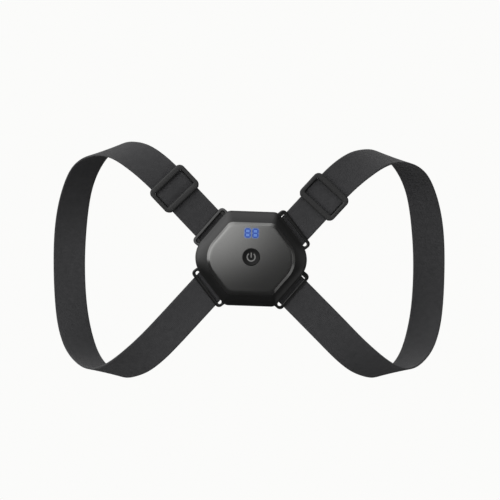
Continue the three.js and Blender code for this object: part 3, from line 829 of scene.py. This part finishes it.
def webbing_mesh(name, loop):
    """The closed band with its distance along and across stored for the weave, and its length."""
    sections, fixed_start, fixed_end, upper = strap_sections(loop)
    line = stations(smooth_line(sections, fixed_start, fixed_end), RIB_PITCH / RIB_STEPS)
    bar = upper[0] + upper[1] * (loop["slider"] + WINDOW_MIDDLE)
    rings, weave = [], []
    for i, (distance, place, across) in enumerate(line):
        along = (line[min(i + 1, len(line) - 1)][1] - line[max(i - 1, 0)][1]).normalized()
        width = (across - along * across.dot(along)).normalized()
        outward = along.cross(width).normalized()
        middle = place - Vector((0, web_lift((place - bar).length), 0))
        rings.append([tuple(middle + width * a + outward * b) for a, b in web_ring])
        weave += [(distance * MM, a * MM, 0) for a, b in web_ring]
    band = piece(name, loft(rings), sharp=70)
    stored = band.data.attributes.new("weave", "FLOAT_VECTOR", "POINT")
    stored.data.foreach_set("vector", [c for row in weave for c in row])
    return band, line[-1][0] * MM


def rib_nodes():
    """Geometry nodes that raise the ribs of the weave over the band's faces, clear of the selvedges."""
    tree = bpy.data.node_groups.new("Webbing ribs", "GeometryNodeTree")
    tree.interface.new_socket("Geometry", in_out="INPUT", socket_type="NodeSocketGeometry")
    sizes = {"Pitch": RIB_PITCH * MM, "Height": RIB_HEIGHT * MM, "Rib half": (half_web - SELVEDGE - 0.4) * MM}
    for label, size in sizes.items():
        tree.interface.new_socket(label, in_out="INPUT", socket_type="NodeSocketFloat").default_value = size
    tree.interface.new_socket("Finish", in_out="INPUT", socket_type="NodeSocketMaterial")
    tree.interface.new_socket("Geometry", in_out="OUTPUT", socket_type="NodeSocketGeometry")
    nodes, links = tree.nodes, tree.links
    given, result = nodes.new("NodeGroupInput"), nodes.new("NodeGroupOutput")
    weave = nodes.new("GeometryNodeInputNamedAttribute")
    weave.data_type = "FLOAT_VECTOR"
    weave.inputs["Name"].default_value = "weave"
    split = nodes.new("ShaderNodeSeparateXYZ")
    links.new(weave.outputs["Attribute"], split.inputs[0])
    turns = math_node(nodes, links, "DIVIDE", split.outputs["X"], given.outputs["Pitch"])
    wave = math_node(nodes, links, "COSINE", math_node(nodes, links, "MULTIPLY", turns, 2 * math.pi))
    side = math_node(nodes, links, "ABSOLUTE", split.outputs["Y"])
    inside = math_node(nodes, links, "LESS_THAN", side, given.outputs["Rib half"])
    height = math_node(nodes, links, "MULTIPLY", wave, given.outputs["Height"])
    rise = math_node(nodes, links, "MULTIPLY", height, inside)
    normal = nodes.new("GeometryNodeInputNormal")
    offset = nodes.new("ShaderNodeVectorMath")
    offset.operation = "SCALE"
    links.new(normal.outputs["Normal"], offset.inputs[0])
    links.new(rise, offset.inputs["Scale"])
    shift = nodes.new("GeometryNodeSetPosition")
    links.new(given.outputs["Geometry"], shift.inputs["Geometry"])
    links.new(offset.outputs["Vector"], shift.inputs["Offset"])
    real = nodes.new("GeometryNodeRealizeInstances")
    links.new(shift.outputs["Geometry"], real.inputs["Geometry"])
    dressed = nodes.new("GeometryNodeSetMaterial")
    links.new(real.outputs["Geometry"], dressed.inputs["Geometry"])
    links.new(given.outputs["Finish"], dressed.inputs["Material"])
    links.new(dressed.outputs["Geometry"], result.inputs["Geometry"])
    return tree


def webbing_material():
    """Matt woven polyester: yarn columns and ribs in the height, and slow changes of shade."""
    material = bpy.data.materials.new("Charcoal webbing")
    material.use_nodes = True
    nodes, links = material.node_tree.nodes, material.node_tree.links
    shader = nodes["Principled BSDF"]
    weave = nodes.new("ShaderNodeAttribute")
    weave.attribute_name = "weave"
    split = nodes.new("ShaderNodeSeparateXYZ")
    links.new(weave.outputs["Vector"], split.inputs[0])
    column = math_node(nodes, links, "MULTIPLY", split.outputs["Y"], 2 * math.pi / (YARN_PITCH * MM))
    columns = math_node(nodes, links, "SINE", column)
    row = math_node(nodes, links, "MULTIPLY", split.outputs["X"], 2 * math.pi / (RIB_PITCH * MM))
    rows = math_node(nodes, links, "COSINE", row)
    height = math_node(nodes, links, "MULTIPLY", columns, rows)
    fuzz = nodes.new("ShaderNodeTexNoise")
    fuzz.inputs["Scale"].default_value = 900.0
    fuzz.inputs["Detail"].default_value = 3.0
    links.new(weave.outputs["Vector"], fuzz.inputs["Vector"])
    height = math_node(nodes, links, "ADD", height, fuzz.outputs["Fac"])
    bump = nodes.new("ShaderNodeBump")
    bump.inputs["Distance"].default_value = WEAVE_DEPTH * MM
    bump.inputs["Strength"].default_value = 0.7
    links.new(height, bump.inputs["Height"])
    links.new(bump.outputs["Normal"], shader.inputs["Normal"])
    shade = nodes.new("ShaderNodeTexNoise")
    shade.inputs["Scale"].default_value = 220.0
    shade.inputs["Detail"].default_value = 4.0
    links.new(weave.outputs["Vector"], shade.inputs["Vector"])
    ramp = nodes.new("ShaderNodeValToRGB")
    ramp.color_ramp.elements[0].position = 0.3
    ramp.color_ramp.elements[0].color = (*WEB_DARK, 1)
    ramp.color_ramp.elements[1].position = 0.7
    ramp.color_ramp.elements[1].color = (*WEB_PALE, 1)
    links.new(shade.outputs["Fac"], ramp.inputs["Fac"])
    links.new(ramp.outputs["Color"], shader.inputs["Base Color"])
    shader.inputs["Roughness"].default_value = 0.9
    shader.inputs["Specular IOR Level"].default_value = 0.15
    shader.inputs["Sheen Weight"].default_value = 0.08
    shader.inputs["Sheen Roughness"].default_value = 0.5
    return material


charcoal = webbing_material()
rib_tree = rib_nodes()
for name, loop in LOOPS.items():
    band, length = webbing_mesh(f"{name}_webbing", loop)
    applied(band, rib_tree, Finish=charcoal)
    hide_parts(f"{name}_strap")
    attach(band, "module")


# Sliders
# Moulded adjusters of matt black acetal, held by the webbing alone. A rounded frame lies over the webbing,
# which dips under its two end bars and passes over a middle bar at the back, so that it fills the window.
MODULE_SIDE_BAR = 4.4
SHOULDER_SIDE_BAR = 4.5
SLIDER_RAIL = 3.1
SLIDER_SIDE_GAP = 0.4
SLIDER_CORNER = 4.2
SLIDER_LIP = 1.2
WINDOW_CORNER = 0.6
SLIDER_FRONT = -5.95
LIP_FRONT = -1.9
SLIDER_BACK = -1.1
BAR_FRONT = -2.5
BAR_THICKNESS = 1.4
BAR_SOFT = 0.4
LIP_INSET = 0.3
LIP_CORNER = 0.5
LIP_SOFT = 0.25
SLIDER_COLOUR = (0.012, 0.012, 0.012)
# The rail's edge: how far in and how far before the slider's back. Then how deep it goes into the frame
RAIL_EDGE = [(0.5, 0), (0.24, 0.12), (0.15, 0.4)]
RAIL_SUNK = 0.9
# Cross-section of the frame, as shares of its width from outside to window and of its height
SLIDER_SECTION = [
    (0, 0),
    (0, 0.6),
    (0.04, 0.82),
    (0.12, 0.95),
    (0.25, 1),
    (0.5, 1),
    (0.75, 1),
    (0.88, 0.95),
    (0.96, 0.82),
    (1, 0.6),
    (1, 0),
]

slider_half = (MODULE_SIDE_BAR + WINDOW_LENGTH + SHOULDER_SIDE_BAR) / 2
window_start = MODULE_SIDE_BAR - slider_half
window_end = window_start + WINDOW_LENGTH
window_half = WEB_WIDTH / 2 + SLIDER_SIDE_GAP
slider_side = window_half + SLIDER_RAIL
slider_outer = rounded_rectangle(-slider_half, slider_half, -slider_side, slider_side, SLIDER_CORNER)
slider_window = rounded_rectangle(window_start, window_end, -window_half, window_half, WINDOW_CORNER)
slider_frame = framed(slider_outer, slider_window, SLIDER_SECTION, EAR_BACK, SLIDER_FRONT)


def soft_block(left, right, back, front, low, high, corner, soft):
    """A block with round corners and softened front and back edges."""
    edges = [(soft, back), (soft * 0.3, back - soft * 0.3), (0, back - soft)]
    edges += [(0, front + soft), (soft * 0.3, front + soft * 0.3), (soft, front)]
    rings = []
    for inset, y in edges:
        radius = max(corner - inset, 0.1)
        outline = rounded_rectangle(left + inset, right - inset, low + inset, high - inset, radius)
        rings.append(at_depth(outline, y))
    return loft(rings)


def rail(upper):
    """A side rail behind the frame, which follows its round corners, from the back to inside the frame."""
    rings = []
    levels = [(inset, SLIDER_BACK - forward) for inset, forward in RAIL_EDGE]
    levels.append((RAIL_EDGE[-1][0], SLIDER_FRONT + RAIL_SUNK))
    for inset, y in levels:
        length, side = slider_half - inset, slider_side - inset
        outline = rounded_rectangle(-length, length, -side, side, SLIDER_CORNER - inset)
        ring = [(x, max(z, window_half)) for x, z in outline if z > 0]
        rings.append(at_depth(ring if upper else [(x, -z) for x, z in reversed(ring)], y))
    return loft(rings)


lip_start, lip_inner, lip_outer = LIP_INSET - slider_half, window_half - SLIDER_LIP, window_half + CUT_RUN
slider_parts = [slider_frame, rail(True), rail(False)]
for low, high in ((lip_inner, lip_outer), (-lip_outer, -lip_inner)):
    lip = soft_block(lip_start, window_end, SLIDER_BACK, LIP_FRONT, low, high, LIP_CORNER, LIP_SOFT)
    slider_parts.append(lip)
bar_start = WINDOW_MIDDLE - MIDDLE_BAR / 2
bar_end, bar_back = bar_start + MIDDLE_BAR, BAR_FRONT + BAR_THICKNESS
slider_parts.append(
    soft_block(bar_start, bar_end, bar_back, BAR_FRONT, -lip_outer, lip_outer, LIP_CORNER, BAR_SOFT)
)
slider_plastic = moulded("Slider plastic", SLIDER_COLOUR, 0.6, 0.25, 0.0006, 0.000012)
for name, loop in LOOPS.items():
    slot, along = strap_sections(loop)[3][:2]
    middle = slot + along * loop["slider"]
    turn = Matrix.Rotation(-math.atan2(along.z, along.x), 4, "Y")
    place = Matrix.Translation((middle.x, 0, middle.z)) @ turn
    adjuster = piece(f"{name}_adjuster", *[moved(part, place) for part in slider_parts], sharp=50)
    adjuster.data.materials.append(slider_plastic)
    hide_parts(f"{name}_slider")
    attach(adjuster, "module")


# Studio
# A pale floor well below the object, and a plain pale surround. The light comes from wide soft patches of the
# surround: strong ones up and to the left in front, one past the right side, and a faint one from behind.
# A soft lamp low on the right edges the panel. One from below lights matt surfaces alone, mainly the webbing.
FLOOR_Z = -0.8
FLOOR_HALF = 6
FLOOR_COLOUR = (0.05, 0.05, 0.05)
SURROUND_WHITE = (0.965, 0.965, 0.955)
AMBIENT = 0.075
# Off-axis angle and clock angle seen from the camera, full and faded angle round that middle, brightness
SOFT_LIGHTS = [
    (21, 136, 0, 28, 4.7),
    (66, 108, 8, 54, 2.9),
    (67, 170, 8, 58, 3.8),
    (64, 0, 5, 40, 0.9),
    (150, 90, 30, 80, 0.6),
]
# Off-axis angle and clock angle, distance and size in metres, watts, and whether shiny surfaces show it
LAMPS = {
    "low lamp": (80, -26, 0.9, 0.5, 0.9, True),
    "fill lamp": (58, -90, 0.9, 0.7, 7.5, False),
}


def towards(off_axis, clock):
    """Direction to a light, off_axis degrees from the line of sight and clock degrees round it."""
    off, turn = math.radians(off_axis), math.radians(clock)
    return Vector((math.sin(off) * math.cos(turn), -math.cos(off), math.sin(off) * math.sin(turn)))


def seen_as_white(nodes, links, shown, other):
    """Mixes a plain white for what the camera sees directly with what lights the object."""
    path = nodes.new("ShaderNodeLightPath")
    mix = nodes.new("ShaderNodeMixShader")
    links.new(path.outputs["Is Camera Ray"], mix.inputs[0])
    links.new(other, mix.inputs[1])
    links.new(shown, mix.inputs[2])
    return mix.outputs[0]


def soft_light(nodes, links, direction, off_axis, clock, full, faded, brightness):
    """Brightness of one soft patch of the surround in a direction."""
    dot = nodes.new("ShaderNodeVectorMath")
    dot.operation = "DOT_PRODUCT"
    dot.inputs[1].default_value = towards(off_axis, clock)
    links.new(direction, dot.inputs[0])
    capped = math_node(nodes, links, "MINIMUM", dot.outputs["Value"], 1.0)
    away = math_node(nodes, links, "ARCCOSINE", capped)
    fade = nodes.new("ShaderNodeMapRange")
    fade.interpolation_type = "SMOOTHSTEP"
    fade.inputs["From Min"].default_value = math.radians(full)
    fade.inputs["From Max"].default_value = math.radians(faded)
    fade.inputs["To Min"].default_value = brightness
    fade.inputs["To Max"].default_value = 0.0
    links.new(away, fade.inputs["Value"])
    return fade.outputs["Result"]


floor_mesh = bpy.data.meshes.new("floor")
floor_corners = [(x * FLOOR_HALF, y * FLOOR_HALF, FLOOR_Z) for x, y in ((-1, -1), (1, -1), (1, 1), (-1, 1))]
floor_mesh.from_pydata(floor_corners, [], [(0, 1, 2, 3)])
floor = bpy.data.objects.new("floor", floor_mesh)
bpy.context.scene.collection.objects.link(floor)
floor_paint = bpy.data.materials.new("Pale floor")
floor_paint.use_nodes = True
floor_nodes, floor_links = floor_paint.node_tree.nodes, floor_paint.node_tree.links
floor_nodes.clear()
glow = floor_nodes.new("ShaderNodeEmission")
glow.inputs["Color"].default_value = (*SURROUND_WHITE, 1)
matt = floor_nodes.new("ShaderNodeBsdfDiffuse")
matt.inputs["Color"].default_value = (*FLOOR_COLOUR, 1)
floor_out = floor_nodes.new("ShaderNodeOutputMaterial")
floor_mix = seen_as_white(floor_nodes, floor_links, glow.outputs[0], matt.outputs[0])
floor_links.new(floor_mix, floor_out.inputs["Surface"])
floor.data.materials.append(floor_paint)

world = bpy.data.worlds.new("Pale surround")
bpy.context.scene.world = world
world.use_nodes = True
world_nodes, world_links = world.node_tree.nodes, world.node_tree.links
white = world_nodes["Background"]
white.inputs["Color"].default_value = (*SURROUND_WHITE, 1)
direction = world_nodes.new("ShaderNodeTexCoord").outputs["Object"]
brightness = AMBIENT
for light in SOFT_LIGHTS:
    patch = soft_light(world_nodes, world_links, direction, *light)
    brightness = math_node(world_nodes, world_links, "ADD", patch, brightness)
lights = world_nodes.new("ShaderNodeBackground")
lights.inputs["Color"].default_value = (1, 1, 1, 1)
world_links.new(brightness, lights.inputs["Strength"])
world_out = world_nodes["World Output"]
world_mix = seen_as_white(world_nodes, world_links, white.outputs[0], lights.outputs[0])
world_links.new(world_mix, world_out.inputs["Surface"])

for name, (off_axis, clock, distance, size, power, glossy) in LAMPS.items():
    light = bpy.data.lights.new(name, "AREA")
    light.size = size
    light.energy = power
    lamp = bpy.data.objects.new(name, light)
    lamp.location = towards(off_axis, clock) * distance
    lamp.rotation_euler = towards(off_axis, clock).to_track_quat("Z", "Y").to_euler()
    lamp.visible_camera = False
    lamp.visible_glossy = glossy
    bpy.context.scene.collection.objects.link(lamp)


# Camera
# It stands level behind the wearer's back, a little under a metre away, and is rolled two degrees.
CAMERA_DISTANCE = 0.960
CAMERA_RIGHT = -0.0010
CAMERA_UP = 0.0062
CAMERA_ROLL = math.radians(-2)
SENSOR_WIDTH = 36
# Pixels per millimetre, at the webbing's depth before the module's back
PICTURE_SCALE = 1.384
SCALE_DEPTH = 3
PICTURE_SIZE = 500

camera_data = bpy.data.cameras.new("camera")
camera_data.sensor_width = SENSOR_WIDTH
camera_data.lens = SENSOR_WIDTH * PICTURE_SCALE * (CAMERA_DISTANCE / MM - SCALE_DEPTH) / PICTURE_SIZE
camera = bpy.data.objects.new("camera", camera_data)
camera.location = (CAMERA_RIGHT, -CAMERA_DISTANCE, CAMERA_UP)
camera.rotation_euler = (math.pi / 2, CAMERA_ROLL, 0)
bpy.context.scene.collection.objects.link(camera)
bpy.context.scene.camera = camera
bpy.context.scene.view_settings.view_transform = "Standard"
